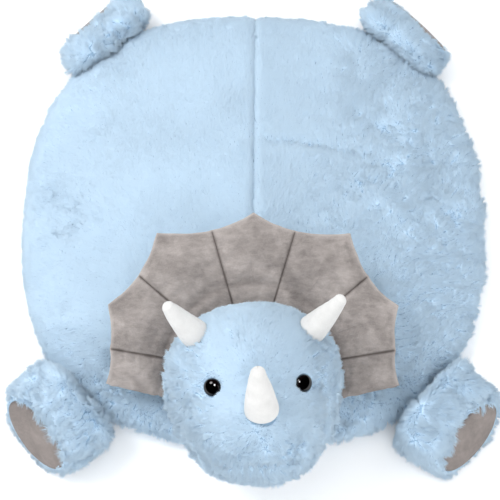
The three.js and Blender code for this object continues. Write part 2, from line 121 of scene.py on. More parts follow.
# ---- Small maths ----
LATTICE_SIZE = 64
LATTICE = np.random.default_rng(11).random((LATTICE_SIZE,) * 3)


def noise(points, size, shift=0.0):
    """Smooth noise from -1 to 1, with bumps about size metres across."""
    spread = points / size + np.array([1.7, 5.3, 9.1]) * (1 + shift)
    cell = np.floor(spread).astype(int)
    part = spread - cell
    part = part * part * (3 - 2 * part)
    total = np.zeros(len(points))
    for corner in np.ndindex(2, 2, 2):
        at = (cell + corner) % LATTICE_SIZE
        weight = np.prod(np.where(np.array(corner) == 1, part, 1 - part), axis=1)
        total += weight * LATTICE[at[:, 0], at[:, 1], at[:, 2]]
    return 2 * total - 1


def waves(points):
    """Height, from -1 to 1, of the low waves that clumped pile falls into, longer across the toy."""
    return noise(points * [0.55, 1, 0.8], 15 * MM, 11.0)


def noise_vectors(points, size, shift=0.0):
    return np.stack([noise(points, size, shift + 3.1 * k) for k in range(3)], axis=1)


def unit(vectors):
    return vectors / np.maximum(np.linalg.norm(vectors, axis=-1, keepdims=True), 1e-12)


def smoothstep(values, start, end):
    t = np.clip((values - start) / (end - start), 0, 1)
    return t * t * (3 - 2 * t)


def hump(values, width):
    """1 where values are 0, falling away on both sides over the given width."""
    return np.exp(-((values / width) ** 2))


def soft_floor(values, floor, softness):
    """Values held above floor, with a rounded corner instead of a sharp one."""
    over = (values - floor) / softness
    return floor + softness * np.where(over > 30, over, np.log1p(np.exp(np.minimum(over, 30))))


def to_world(points, turn):
    """From head axes or frill axes, which share the head's centre, to the row frame."""
    return points @ np.array(turn).T + HEAD_CENTRE


def from_world(points, turn):
    return (points - HEAD_CENTRE) @ np.array(turn)


# ---- Meshes ----
def object_of(name, data):
    obj = bpy.data.objects.new(name, data)
    bpy.context.scene.collection.objects.link(obj)
    return obj


def mesh_object(name, points, faces):
    mesh = bpy.data.meshes.new(name)
    mesh.from_pydata(np.asarray(points).tolist(), [], faces)
    bm = bmesh.new()
    bm.from_mesh(mesh)
    bmesh.ops.remove_doubles(bm, verts=bm.verts, dist=1e-6)
    bmesh.ops.recalc_face_normals(bm, faces=bm.faces)
    bm.to_mesh(mesh)
    bm.free()
    mesh.shade_smooth()
    return object_of(name, mesh)


def coordinates(mesh, kind="co"):
    found = np.empty(len(mesh.vertices) * 3, np.float32)
    mesh.vertices.foreach_get(kind, found)
    return found.reshape(-1, 3).astype(float)


def normals_of(mesh):
    return coordinates(mesh, "normal")


def set_coordinates(mesh, points):
    mesh.vertices.foreach_set("co", np.asarray(points, np.float32).ravel())
    mesh.update()


def grid_faces(rows, columns, closed=False):
    """Quads over a grid of points stored row by row; closed joins the last column to the first."""
    faces = []
    for r in range(rows - 1):
        for c in range(columns if closed else columns - 1):
            n = (c + 1) % columns
            faces.append((r * columns + c, r * columns + n, (r + 1) * columns + n, (r + 1) * columns + c))
    return faces


def two_sheets(faces, count):
    """The faces of a sheet and of its reversed copy, count points later, joined round the rim."""
    sides = {(a, b) for f in faces for a, b in zip(f, f[1:] + f[:1])}
    rim = [(b, a, a + count, b + count) for a, b in sides if (b, a) not in sides]
    return faces + [tuple(i + count for i in reversed(f)) for f in faces] + sorted(rim)


def ball(subdivisions):
    """Points and faces of an even ball of radius 1."""
    bm = bmesh.new()
    bmesh.ops.create_icosphere(bm, subdivisions=subdivisions, radius=1)
    points = np.array([v.co for v in bm.verts])
    faces = [tuple(v.index for v in f.verts) for f in bm.faces]
    bm.free()
    return unit(points), faces


def shell_part(name, whole, planes):
    """The part of a closed surface in front of every plane, as a closed shell of cloth."""
    bm = bmesh.new()
    bm.from_mesh(whole.data)
    for point, normal in planes:
        geometry = bm.verts[:] + bm.edges[:] + bm.faces[:]
        bmesh.ops.bisect_plane(bm, geom=geometry, plane_co=point, plane_no=normal, clear_inner=True)
    mesh = bpy.data.meshes.new(name)
    bm.to_mesh(mesh)
    bm.free()
    outside, facing = coordinates(mesh), normals_of(mesh)
    points = np.concatenate([outside, outside - facing * CLOTH])
    faces = [tuple(p.vertices) for p in mesh.polygons]
    mesh.clear_geometry()
    mesh.from_pydata(points.tolist(), [], two_sheets(faces, len(outside)))
    mesh.shade_smooth()
    # the cloth's own facing, which its cut edges don't turn
    lie = mesh.attributes.new("lie", "FLOAT_VECTOR", "POINT")
    lie.data.foreach_set("vector", np.concatenate([facing, -facing]).astype(np.float32).ravel())
    part = object_of(name, mesh)
    part["outer_faces"] = len(faces)
    return part


def lathe_object(name, profile, segments):
    """A solid of revolution about z; the profile runs from the axis to the axis."""
    angles = np.linspace(0, 2 * math.pi, segments, endpoint=False)
    radii, heights = np.array(profile).T
    x = radii[:, None] * np.cos(angles)
    y = radii[:, None] * np.sin(angles)
    z = np.broadcast_to(heights[:, None], x.shape)
    points = np.stack([x, y, z], axis=-1).reshape(-1, 3)
    return mesh_object(name, points, grid_faces(len(profile), segments, closed=True))


# ---- Materials ----
def linear(colour):
    """A #rrggbb colour as the linear red, green, blue and alpha that a shader takes."""
    channels = [int(colour[i : i + 2], 16) / 255 for i in (1, 3, 5)]
    return [c / 12.92 if c <= 0.04045 else ((c + 0.055) / 1.055) ** 2.4 for c in channels] + [1]


class Material:
    """A Principled material with a few short ways to add nodes."""

    def __init__(self, name, colour, roughness=0.9, **sockets):
        self.material = bpy.data.materials.new(name)
        self.material.use_nodes = True
        self.material.diffuse_color = linear(colour)
        self.tree = self.material.node_tree
        self.shader = self.tree.nodes["Principled BSDF"]
        self.shader.inputs["Base Color"].default_value = linear(colour)
        self.shader.inputs["Roughness"].default_value = roughness
        for socket, value in sockets.items():
            self.shader.inputs[socket.replace("_", " ")].default_value = value

    def node(self, kind, **settings):
        made = self.tree.nodes.new(kind)
        for key, value in settings.items():
            if hasattr(made, key):
                setattr(made, key, value)
            else:
                made.inputs[key.replace("_", " ")].default_value = value
        return made

    def link(self, source, target):
        self.tree.links.new(source, target)

    def noise(self, size, detail=3.0, stretch=(1, 1, 1), distortion=0.0):
        """Noise over the object's own coordinates in metres, stretched."""
        made = self.node("ShaderNodeTexNoise", Scale=1 / size, Detail=detail, Distortion=distortion)
        mapping = self.node("ShaderNodeMapping", Scale=stretch)
        self.link(self.node("ShaderNodeTexCoord").outputs["Object"], mapping.inputs["Vector"])
        self.link(mapping.outputs["Vector"], made.inputs["Vector"])
        return made.outputs["Fac"]

    def values(self, name):
        """The values that point_values gave the mesh under this name."""
        return self.node("ShaderNodeAttribute", attribute_name=name).outputs["Fac"]

    def ramp(self, factor, stops):
        made = self.node("ShaderNodeValToRGB")
        elements = made.color_ramp.elements
        while len(elements) < len(stops):
            elements.new(0.5)
        for element, (position, colour) in zip(elements, stops):
            element.position = position
            element.color = linear(colour)
        self.link(factor, made.inputs["Fac"])
        return made.outputs["Color"]

    def tones(self, factor, dark, light):
        """Dark where the factor is low, light where it is high."""
        return self.ramp(factor, ((0.3, dark), (0.7, light)))

    def mix(self, factor, first, second, blend="MIX"):
        made = self.node("ShaderNodeMix", data_type="RGBA", blend_type=blend)
        for value, socket in ((factor, 0), (first, 6), (second, 7)):
            if isinstance(value, bpy.types.NodeSocket):
                self.link(value, made.inputs[socket])
            else:
                made.inputs[socket].default_value = value
        return made.outputs[2]

    def colour(self, source):
        self.link(source, self.shader.inputs["Base Color"])

    def bump(self, height, distance, strength=0.6):
        made = self.node("ShaderNodeBump", Distance=distance, Strength=strength)
        self.link(height, made.inputs["Height"])
        self.link(made.outputs["Normal"], self.shader.inputs["Normal"])

    def roughness(self, factor, low, high):
        made = self.node("ShaderNodeMapRange", To_Min=low, To_Max=high)
        self.link(factor, made.inputs["Value"])
        self.link(made.outputs["Result"], self.shader.inputs["Roughness"])


# tones from light to dark: pile() gives the darker ones partly at random and partly as painted shade in
# partings; the last, greyest one goes only to the short tufts in the partings, as painted shade
PILE_TONES = ("#d3eafc", "#bfdff9", "#a7d1f4", "#86bae6", "#84a7c8")


def pile_material(index, colour):
    gloss = dict(Sheen_Weight=0.06, Sheen_Roughness=0.5, Specular_IOR_Level=0.2)
    return Material(f"pile_tone_{index + 1}", colour, 0.95, **gloss).material


def plush_backing_painted_dark():
    # painted shade: darker than the pile, so the backing seen in the gaps between tufts stands for their
    # shade
    made = Material("plush_backing_painted_dark", "#93b0c9", 0.95, Sheen_Weight=0.05, Sheen_Roughness=0.5)
    cloudy = made.noise(40 * MM, 3)
    fine = made.noise(2.2 * MM, 2)
    tint = made.tones(cloudy, "#8aa8c3", "#9cb9d1")
    made.colour(made.mix(0.25, tint, made.tones(fine, "#82a1bd", "#a6c1d7")))
    made.bump(fine, 1.5 * MM)
    made.roughness(cloudy, 0.88, 1.0)
    return made.material


def short_plush():
    made = Material("short_plush", "#b8d4ec", 0.95, Sheen_Weight=0.3, Sheen_Roughness=0.4)
    fine = made.noise(1.4 * MM, 3)
    cloudy = made.noise(25 * MM, 2)
    tint = made.tones(cloudy, "#b1cfe9", "#c8def2")
    made.colour(made.mix(0.35, tint, made.ramp(fine, ((0.25, "#9dc0e0"), (0.75, "#d8e8f7")))))
    made.bump(fine, 1.2 * MM, 0.8)
    made.roughness(cloudy, 0.85, 1.0)
    return made.material


def velour(name, dark, middle, light, tip):
    """Short-nap cloth: brushed patches, a fine grain, paler towards an outline the mesh marks, and
    painted shade in the grooves of its seams.
    """
    made = Material(name, middle, 0.85, Sheen_Weight=0.35, Sheen_Roughness=0.35)
    made.shader.inputs["Sheen Tint"].default_value = linear(tip)
    brushed = made.noise(26 * MM, 4, (1, 1, 1), 0.8)
    streaks = made.noise(5 * MM, 3, (0.45, 1, 1), 0.4)
    grain = made.noise(0.9 * MM, 2)
    broad = made.noise(70 * MM, 2, (1, 1, 1), 0.5)
    tint = made.ramp(brushed, ((0.36, dark), (0.5, middle), (0.64, light)))
    tint = made.mix(0.5, tint, made.ramp(broad, ((0.35, dark), (0.5, middle), (0.62, light))))
    tint = made.mix(0.3, tint, made.tones(streaks, dark, light))
    tint = made.mix(0.3, tint, made.tones(grain, dark, light))
    # paler towards the outline
    tint = made.mix(made.values("pale_outline"), tint, linear(tip))
    # painted shade in the grooves of seams and creases
    shade = made.ramp(made.values("seam_groove_shade"), ((0, "#ffffff"), (1, "#8b8481")))
    made.colour(made.mix(1.0, tint, shade, "MULTIPLY"))
    made.bump(made.mix(0.5, grain, streaks), 0.9 * MM, 0.55)
    made.roughness(brushed, 0.78, 0.95)
    return made.material


def felt():
    made = Material("white_felt", "#d2d1cf", 0.9, Sheen_Weight=0.2, Sheen_Roughness=0.5)
    weave = made.noise(1.1 * MM, 3)
    cloudy = made.noise(18 * MM, 2)
    tint = made.tones(cloudy, "#cbcac8", "#d9d8d6")
    tint = made.mix(0.2, tint, made.tones(weave, "#bebdbb", "#e4e4e3"))
    # painted shade along the seam's groove
    shade = made.ramp(made.values("seam_groove_shade"), ((0, "#ffffff"), (1, "#c4c1bc")))
    made.colour(made.mix(1.0, tint, shade, "MULTIPLY"))
    made.bump(weave, 0.8 * MM, 0.5)
    made.roughness(cloudy, 0.85, 0.98)
    return made.material


def eye_plastic():
    made = Material("eye_plastic", "#060404", 0.06, IOR=1.45)
    stops = ((0.0, "#010101"), (0.7, "#020202"), (0.86, "#100708"), (0.95, "#020101"))
    made.colour(made.ramp(made.values("ring"), stops))
    made.roughness(made.noise(3 * MM, 2), 0.04, 0.09)
    return made.material


def washer_plastic():
    made = Material("washer_plastic", "#e4e4e0", 0.45)
    cloudy = made.noise(4 * MM, 2)
    made.colour(made.tones(cloudy, "#d9d9d4", "#ecece8"))
    made.bump(made.noise(0.6 * MM, 2), 0.1 * MM, 0.3)
    made.roughness(cloudy, 0.38, 0.52)
    return made.material


def paint(obj, *materials):
    obj.data.materials.clear()
    for material in materials:
        obj.data.materials.append(material)


def settle(piece, body, material):
    """Paints a piece, and says which body it rides on."""
    paint(piece, material)
    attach(piece, body)


def point_values(obj, name, values):
    attribute = obj.data.attributes.get(name) or obj.data.attributes.new(name, "FLOAT", "POINT")
    attribute.data.foreach_set("value", np.asarray(values, np.float32))


# ---- Pile ----
TUFT_SUNK = 1.5 * MM
TUFT_WIDTH = 1.3 * MM
TUFT_FACES = np.array([(0, 2, 1), (0, 1, 3), (1, 2, 3), (2, 0, 3)])
DENSITY = 1.2 / MM**2
UNDERFUR = 0.45  # share of the tufts, in the partings of clumped pile, that are short and painted dark as the partings' shade
UNDERFUR_LENGTH = 0.55  # as a share of the other tufts
MOST_TUFTS = 48000  # in one mesh


def scatter(base, count, rng):
    """Even random points on the outside of a cloth piece, with its smooth normals there."""
    mesh = base.data
    mesh.calc_loop_triangles()
    corners = np.empty(len(mesh.loop_triangles) * 3, np.int32)
    mesh.loop_triangles.foreach_get("vertices", corners)
    owner = np.empty(len(mesh.loop_triangles), np.int32)
    mesh.loop_triangles.foreach_get("polygon_index", owner)
    corners = corners.reshape(-1, 3)[owner < base.get("outer_faces", len(mesh.polygons))]
    points, normals = coordinates(mesh), normals_of(mesh)
    if "lie" in mesh.attributes:
        normals = np.array([v.vector for v in mesh.attributes["lie"].data])
    a, b, c = (points[corners[:, k]] for k in range(3))
    area = np.cumsum(np.linalg.norm(np.cross(b - a, c - a), axis=1))
    picked = np.searchsorted(area, (np.arange(count) + rng.random(count)) / count * area[-1])
    picked = np.minimum(picked, len(area) - 1)
    u, v = rng.random((2, count))
    over = u + v > 1
    u, v = np.where(over, 1 - u, u), np.where(over, 1 - v, v)
    weights = np.stack([1 - u - v, u, v], axis=1)[:, :, None]
    at = (points[corners[picked]] * weights).sum(1)
    facing = unit((normals[corners[picked]] * weights).sum(1))
    return at, facing


def nearest_clump(points, centres):
    tree = KDTree(len(centres))
    for i, centre in enumerate(centres):
        tree.insert(centre, i)
    tree.balance()
    return np.array([tree.find(p)[1] for p in points])


def pile(name, base, body, comb, seed, look, keep=None):
    """Tufts of pile on the outside of a cloth piece, as meshes of closed pointed blades.

    comb gives the direction that the pile lies in at each point. look gives, at each point, its
    length, lean from the normal in radians, gather (how far the tips draw together in clumps)
    and clump size. keep says which points have pile.
    """
    rng = np.random.default_rng(seed)
    roots, normals = scatter(base, int(covered_area(base) * DENSITY), rng)
    if keep is not None:
        kept = keep(roots, normals)
        roots, normals = roots[kept], normals[kept]
    count = len(roots)
    length, lean, gather, size = look(roots, normals)

    # each tuft belongs to the nearest of some centres, found from a wobbled place
    clumps = int(covered_area(base) / size**2)
    centre_of = rng.choice(count, clumps, replace=False)
    wobble = 0.35 * size * noise_vectors(roots, 0.7 * size, 1.5)
    mine = centre_of[nearest_clump(roots + wobble, roots[centre_of])]

    direction = unit(comb(roots, normals)) + 0.7 * noise_vectors(roots, 60 * MM, 4.0)
    direction = direction + 4 * gather[:, None] * noise_vectors(roots, 20 * MM, 9.0)
    wave = waves(roots)
    under = rng.random(count) < UNDERFUR * smoothstep(gather, 0.13, 0.3) * smoothstep(-wave, -0.1, 0.4)
    stray = (0.1 + 0.7 * gather)[:, None]
    direction = direction + stray * rng.normal(size=(count, 3))[mine] + 0.25 * rng.normal(size=(count, 3))
    direction = unit(direction - normals * (direction * normals).sum(1, keepdims=True))

    away = np.clip(np.linalg.norm(roots - roots[mine], axis=1) / size, 0, 1)
    # taller on the waves' ridges and shorter in the partings between; the tones below add painted shade
    # in the partings
    ridge = gather * wave
    tall = 1 + 1.3 * ridge + 0.1 * rng.normal(size=count)[mine] + 0.1 * rng.normal(size=count)
    drawn_in = 1 - gather * away**2
    reach = (length * tall * drawn_in * np.where(under, UNDERFUR_LENGTH, 1))[:, None]
    slope = lean + 0.1 * rng.normal(size=count)[mine] + 0.1 * rng.normal(size=count)
    slope = np.clip(slope, 0.05, 1.45)[:, None]
    tips = roots + reach * (np.cos(slope) * normals + np.sin(slope) * direction)
    tips = tips + np.where(under, 0, gather)[:, None] * (tips[mine] - tips)

    along = unit(tips - roots)
    side = unit(np.cross(along, rng.normal(size=(count, 3))))
    other = np.cross(along, side)
    width = ((0.8 + 0.4 * rng.random(count)) * (1.5 - 1.6 * gather))[:, None] * TUFT_WIDTH
    # the clumped pile shows each tuft's own roundness, the smooth pile more the lie of the whole
    own = (0.35 + 1.2 * gather)[:, None]
    points = np.empty((count, 4, 3))
    shading = np.empty((count, 4, 3))
    for k in range(3):
        turn = 2 * math.pi * k / 3
        spoke = math.cos(turn) * side + math.sin(turn) * other
        points[:, k] = roots - TUFT_SUNK * normals + 0.5 * width * spoke
        shading[:, k] = (1 - own) * normals + own * spoke
    points[:, 3] = tips
    shading[:, 3] = (1 - own) * normals + own * along
    points[:, :, 2] = np.maximum(points[:, :, 2], 0.4 * MM)

    tone = 0.2 * noise(roots, 70 * MM, 2.0) + 0.3 * noise(roots, 9 * MM, 6.0)
    tone = tone + (0.1 + 1.4 * gather) * rng.normal(size=count)
    # painted shade: darker tones towards the clumps' edges, in the waves' partings and over clumped pile
    # as a whole
    tone = tone + 1.5 * gather * (away - 0.5)
    tone = tone - 3 * ridge + 0.6 * gather
    main = len(PILE_TONES) - 1
    tone = np.clip(np.floor((tone + 0.8) / 1.6 * main), 0, main - 1)
    # painted shade: the short tufts in the partings take the darkest, greyest tone
    tone = np.where(under, main, tone)
    order = np.argsort(roots[:, 1], kind="stable")
    parts = np.array_split(order, math.ceil(count / MOST_TUFTS))
    for k, part in enumerate(parts):
        part_name = name if len(parts) == 1 else f"{name}_{k + 1}"
        obj = tuft_mesh(part_name, points[part], unit(shading[part]), tone[part])
        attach(obj, body)


def tuft_mesh(name, points, shading, tone):
    count = len(points)
    faces = (TUFT_FACES[None] + 4 * np.arange(count)[:, None, None]).reshape(-1, 3)
    mesh = bpy.data.meshes.new(name)
    mesh.vertices.add(count * 4)
    mesh.vertices.foreach_set("co", points.astype(np.float32).ravel())
    mesh.loops.add(faces.size)
    mesh.polygons.add(len(faces))
    mesh.polygons.foreach_set("loop_start", np.arange(0, faces.size, 3, dtype=np.int32))
    mesh.polygons.foreach_set("vertices", faces.astype(np.int32).ravel())
    mesh.polygons.foreach_set("material_index", np.repeat(tone.astype(np.int32), len(TUFT_FACES)))
    mesh.update(calc_edges=True)
    mesh.shade_smooth()
    mesh.normals_split_custom_set_from_vertices(shading.reshape(-1, 3).astype(np.float32))
    obj = object_of(name, mesh)
    paint(obj, *PILE_MATERIALS)
    return obj


def covered_area(base):
    outer = base.get("outer_faces", len(base.data.polygons))
    areas = np.empty(len(base.data.polygons), np.float32)
    base.data.polygons.foreach_get("area", areas)
    return float(areas[:outer].sum())


PILE_MATERIALS = [pile_material(i, colour) for i, colour in enumerate(PILE_TONES)]


# ---- Head surface ----
def exit_distance(rays, centre, radii):
    """How far rays from the head's middle run before they leave an ellipsoid for the last time."""
    ray, shift = rays / radii, centre / radii
    a = (ray**2).sum(1)
    b = ray @ shift
    root = b * b - a * (shift @ shift - 1)
    return np.where(root < 0, 0, np.maximum(0, (b + np.sqrt(np.maximum(root, 0))) / a))


def head_radius(rays):
    return sum(exit_distance(rays, *r) ** HEAD_BLEND for r in HEAD_ROUNDS) ** (1 / HEAD_BLEND)


def seat(spot, aim):
    """Origin and outward axis, in head axes, of something sewn to the head."""
    ray = unit(np.array(spot, float))
    axis = unit(np.array(aim, float))
    return ray * head_radius(ray[None])[0] - axis * SEAT_DEPTH, axis


def head_normal(spot):
    step = 1 * MM
    rays = unit(np.array([spot, spot + np.array([step, 0, 0]), spot + np.array([0, step, 0])]))
    middle, right, above = rays * head_radius(rays)[:, None]
    return unit(np.cross(right - middle, above - middle))


def mirrored(values, side):
    return np.array(values, float) * np.array([side, 1, 1])


def seat_matrix(origin, axis, side=1):
    """Takes a piece standing on its z axis to its seat on the head, in the row frame."""
    turn = Vector((0, 0, 1)).rotation_difference(Vector(axis)).to_matrix().to_4x4()
    flip = Matrix.Diagonal((side, 1, 1, 1))
    return Matrix.Translation(HEAD_CENTRE) @ HEAD_TURN.to_4x4() @ Matrix.Translation(origin) @ turn @ flip


EYES = {}
HORNS = {"nose_horn": (NOSE_HORN, 1)}
for label, side in SIDES:
    spot = mirrored(EYE_SPOT, side)
    EYES[f"eye_{label}"] = seat(spot, head_normal(spot))
    HORNS[f"brow_horn_{label}"] = (BROW_HORN, side)


def horn_seat(name):
    shape, side = HORNS[name]
    return seat(mirrored(shape["spot"], side), mirrored(shape["aim"], side))


def from_axis(points, origin, axis):
    """Distance from an axis, and height along it."""
    offset = points - origin
    height = offset @ axis
    return np.linalg.norm(offset - height[:, None] * axis, axis=1), height


# ---- Mat ----
def mat_radius(angles):
    x = np.abs(np.cos(angles)) / MAT_HALF[0]
    y = np.abs(np.sin(angles)) / MAT_HALF[1]
    return (x**MAT_SQUARENESS + y**MAT_SQUARENESS) ** (-1 / MAT_SQUARENESS)


def mat_surface():
    """The mat's whole round, from the middle of its underside to the middle of its top."""
    segments, rim_steps, top_steps = 300, 14, 46
    edge = MAT_HALF[0] - PILE_ROOM
    top, bottom = MAT_RIM_TOP - PILE_ROOM, 0.5 * MM
    crown = MAT_TOP - PILE_ROOM
    flat = edge - MAT_RIM_WIDTH
    profile = [(flat * k / 12, bottom) for k in range(12)]
    for turn in np.linspace(-math.pi / 2, math.pi / 2, rim_steps):
        height = (top + bottom) / 2 + (top - bottom) / 2 * math.sin(turn)
        profile.append((flat + MAT_RIM_WIDTH * math.cos(turn), height))
    for k in range(1, top_steps + 1):
        share = 1 - k / top_steps
        profile.append((flat * share, top + (crown - top) * (1 - share**2)))
    obj = lathe_object("mat_surface", profile, segments)
    points = coordinates(obj.data)
    angles = np.arctan2(points[:, 1], points[:, 0])
    points[:, :2] *= (mat_radius(angles) / MAT_HALF[0])[:, None]
    points += MAT_CENTRE
    set_coordinates(obj.data, points)
    points += normals_of(obj.data) * mat_lumps(points)[:, None]
    points[:, 2] = np.maximum(points[:, 2], bottom)
    set_coordinates(obj.data, points)
    return obj


CREASE = np.array([[12, 150], [75, 141], [130, 130], [193, 122]]) * MM


def on_crease(points):
    """1 along the crease in the right half of the mat's top, 0 away from it."""
    x, y = points[:, 0], points[:, 1]
    line = np.interp(x, CREASE[:, 0], CREASE[:, 1]) + 4 * MM * noise(points * [1, 0, 0], 30 * MM, 5.0)
    fade = smoothstep(x, 0, 25 * MM) * (1 - smoothstep(x, 150 * MM, 215 * MM))
    return fade * hump(y - line, 7 * MM)


def mat_lumps(points):
    """Height of the mat's soft lumps and the grooves of its seam and crease."""
    x, y = points[:, 0], points[:, 1]
    above = smoothstep(points[:, 2], 8 * MM, 22 * MM)
    right = smoothstep(x, -40 * MM, 200 * MM)
    edge = smoothstep(np.hypot(x / MAT_HALF[0], (y - MAT_CENTRE[1]) / MAT_HALF[1]), 0.8, 1.0)
    rough = 0.35 + 0.65 * np.maximum(right, 0.3 * edge)
    lumps = 2.2 * MM * noise(points, 90 * MM) + rough * 1.6 * MM * noise(points, 30 * MM, 2.0)
    seam = 4.5 * MM * hump(x, 5 * MM) * smoothstep(y, -330 * MM, -250 * MM)
    crease = 4 * MM * on_crease(points)
    front = smoothstep(-y, 100 * MM, 300 * MM)
    wavy = np.maximum(right, 0.7 * front) * (1 - 0.6 * edge)
    return above * (lumps + wavy * 2.4 * MM * waves(points) - seam - crease)


def build_mat(materials):
    whole = mat_surface()
    mid = Vector(MAT_CENTRE)
    level = Vector((0, 0, MAT_SEAM_Z))
    gap = SEAM_GAP
    underside = shell_part("mat_underside_cloth", whole, [(level - Vector((0, 0, gap)), (0, 0, -1))])
    settle(underside, "mat", materials["short_plush"])
    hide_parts("mat_underside", "mat_batting")
    for label, side in SIDES:
        start = mid + Vector((side * gap, 0, 0))
        planes = [(level + Vector((0, 0, gap)), (0, 0, 1)), (start, (side, 0, 0))]
        top = shell_part(f"mat_top_{label}_cloth", whole, planes)
        settle(top, "mat", materials["plush"])
        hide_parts(f"mat_top_{label}")
        pile(f"mat_pile_{label}", top, "mat", mat_comb, 20 + side, mat_look)
    bpy.data.objects.remove(whole)


def mat_comb(points, normals):
    out = unit((points - MAT_CENTRE) * [1, 1, 0])
    rim = smoothstep(np.linalg.norm((points - MAT_CENTRE)[:, :2], axis=1), 0.2, 0.33)
    front = smoothstep(-points[:, 1], 80 * MM, 240 * MM)[:, None]
    return out * (0.3 + rim)[:, None] + np.array([-0.15, 0.45, 0]) * (1 - 0.5 * front)


def under_head(points):
    """1 where the head lies on the mat, 0 well away from it."""
    local = from_world(points, HEAD_TURN)
    distance = np.linalg.norm(local, axis=1) - head_radius(unit(local))
    return 1 - smoothstep(distance, 4 * MM, 16 * MM)


def mat_look(points, normals):
    x, y = points[:, 0], points[:, 1]
    share = np.hypot(x / MAT_HALF[0], (y - MAT_CENTRE[1]) / MAT_HALF[1])
    front = smoothstep(-y, 100 * MM, 300 * MM)
    rough = np.maximum(smoothstep(x, 0, 260 * MM), smoothstep(share, 0.75, 1.0) * (0.35 + 0.65 * front))
    rough = np.clip(rough + 0.35 * noise(points, 80 * MM, 8.0), 0, 1)
    length = (8 + 4 * rough) * MM * (1 - 0.65 * under_head(points))
    seam = hump(x, 5 * MM)
    rough = np.maximum(rough, on_crease(points))
    return length * (1 - 0.3 * seam), 0.75 + 0.2 * rough, 0.03 + 0.3 * rough, 5.5 * MM


# ---- Head ----
FRILL_SWEEP = (-15 * MM, 15 * MM)  # height in head axes below which the frill passes as it folds


def head_surface():
    rays, faces = ball(6)
    # the stuffing rounds off the folds between the head's rounds: an average over nearby rays
    nearby = [unit(rays + 0.2 * step) for step in unit(np.array(ball(1)[0]))]
    reach = np.mean([head_radius(r) for r in nearby], axis=0) - PILE_ROOM
    points = rays * reach[:, None]
    lumps = 1.8 * MM * noise(points, 55 * MM, 1.0) + 1.1 * MM * noise(points, 22 * MM, 3.0)
    chin = hump(points[:, 1] - CHIN_PANEL_Y, 5 * MM)
    middle = 1 - smoothstep(np.abs(points[:, 0]), 50 * MM, 95 * MM)
    rough = 1 - smoothstep(points[:, 1], -80 * MM, 0) * middle
    rough = rough * smoothstep(points[:, 2], *FRILL_SWEEP)
    points += rays * (lumps + rough * 1.8 * MM * waves(points) - 3.5 * MM * chin)[:, None]
    world = to_world(points, HEAD_TURN)
    world[:, 2] = soft_floor(world[:, 2], HEAD_BASE_Z + 0.4 * MM, 2 * MM)
    return mesh_object("head_surface", world, faces)


def head_planes(planes):
    """Cutting planes given in head axes, as points and normals in the row frame."""
    centre = Vector(HEAD_CENTRE)
    return [(centre + HEAD_TURN @ Vector(at), HEAD_TURN @ Vector(facing)) for at, facing in planes]


def build_head(materials):
    whole = head_surface()
    gap = SEAM_GAP
    half = GUSSET_HALF_WIDTH
    front = ((0, 0, BACK_PANEL_Z + gap), (0, 0, 1))
    above_chin = ((0, CHIN_PANEL_Y + gap, 0), (0, 1, 0))
    strip = [((half - gap, 0, 0), (-1, 0, 0)), ((gap - half, 0, 0), (1, 0, 0))]
    panels = {
        "head_back_panel": [((0, 0, BACK_PANEL_Z - gap), (0, 0, -1))],
        "head_chin_panel": [front, ((0, CHIN_PANEL_Y - gap, 0), (0, -1, 0))],
        "head_gusset": [front, above_chin, *strip],
        "head_side_left": [front, above_chin, ((half + gap, 0, 0), (1, 0, 0))],
        "head_side_right": [front, above_chin, ((-half - gap, 0, 0), (-1, 0, 0))],
    }
    for index, (node, planes) in enumerate(panels.items()):
        part = shell_part(f"{node}_cloth", whole, head_planes(planes))
        settle(part, "head", materials["plush"])
        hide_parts(*([node, "head_stuffing"] if node == "head_back_panel" else [node]))
        pile(f"{node}_pile", part, "head", head_comb, 40 + index, head_look, head_keep)
    bpy.data.objects.remove(whole)


def head_comb(points, normals):
    local = from_world(points, HEAD_TURN)
    nose = np.array(NOSE_HORN["spot"]) * MM
    away = unit(local - nose + np.array([0, -20, 10]) * MM)
    return away @ np.array(HEAD_TURN).T


def eye_distance(points):
    local = from_world(points, HEAD_TURN)
    return np.min([from_axis(local, *EYES[name])[0] for name in EYES], axis=0)


def head_look(points, normals):
    local = from_world(points, HEAD_TURN)
    low = 1 - smoothstep(local[:, 1], -90 * MM, -15 * MM)
    cheek = smoothstep(np.abs(local[:, 0]), 45 * MM, 95 * MM)
    rough = np.clip(0.35 + np.maximum(low, cheek) + 0.35 * noise(points, 60 * MM, 8.0), 0, 1)
    eye = smoothstep(eye_distance(points), EYE_RADIUS, EYE_RADIUS + 14 * MM)
    eye = np.where(local[:, 2] > 0, eye, 1)
    swept = 1 - smoothstep(local[:, 2], *FRILL_SWEEP)
    length = (8 + 4 * rough) * MM * (0.5 + 0.5 * eye) * (1 - 0.45 * swept)
    return length, 0.75 + 0.15 * rough, 0.04 + 0.36 * rough, 6 * MM


def head_keep(points, normals):
    local = from_world(points, HEAD_TURN)
    kept = (points[:, 2] > HEAD_BASE_Z + 3 * MM) | (normals[:, 2] > -0.5)
    for name, (origin, axis) in EYES.items():
        distance, height = from_axis(local, origin, axis)
        kept &= (distance > EYE_RADIUS + 0.3 * MM) | (height < -20 * MM)
    for name, (shape, side) in HORNS.items():
        origin, axis = horn_seat(name)
        distance, height = from_axis(local, origin, axis)
        kept &= (distance > (shape["radius"] - 3) * MM) | (height < -25 * MM)
    flat = from_world(points, FRILL_TURN)
    in_slab = np.abs(flat[:, 2] - FRILL_PLANE_Z) < FRILL_THICKNESS / 2 + 1 * MM
    kept &= ~(in_slab & (flat[:, 1] > -36 * MM))
    return kept


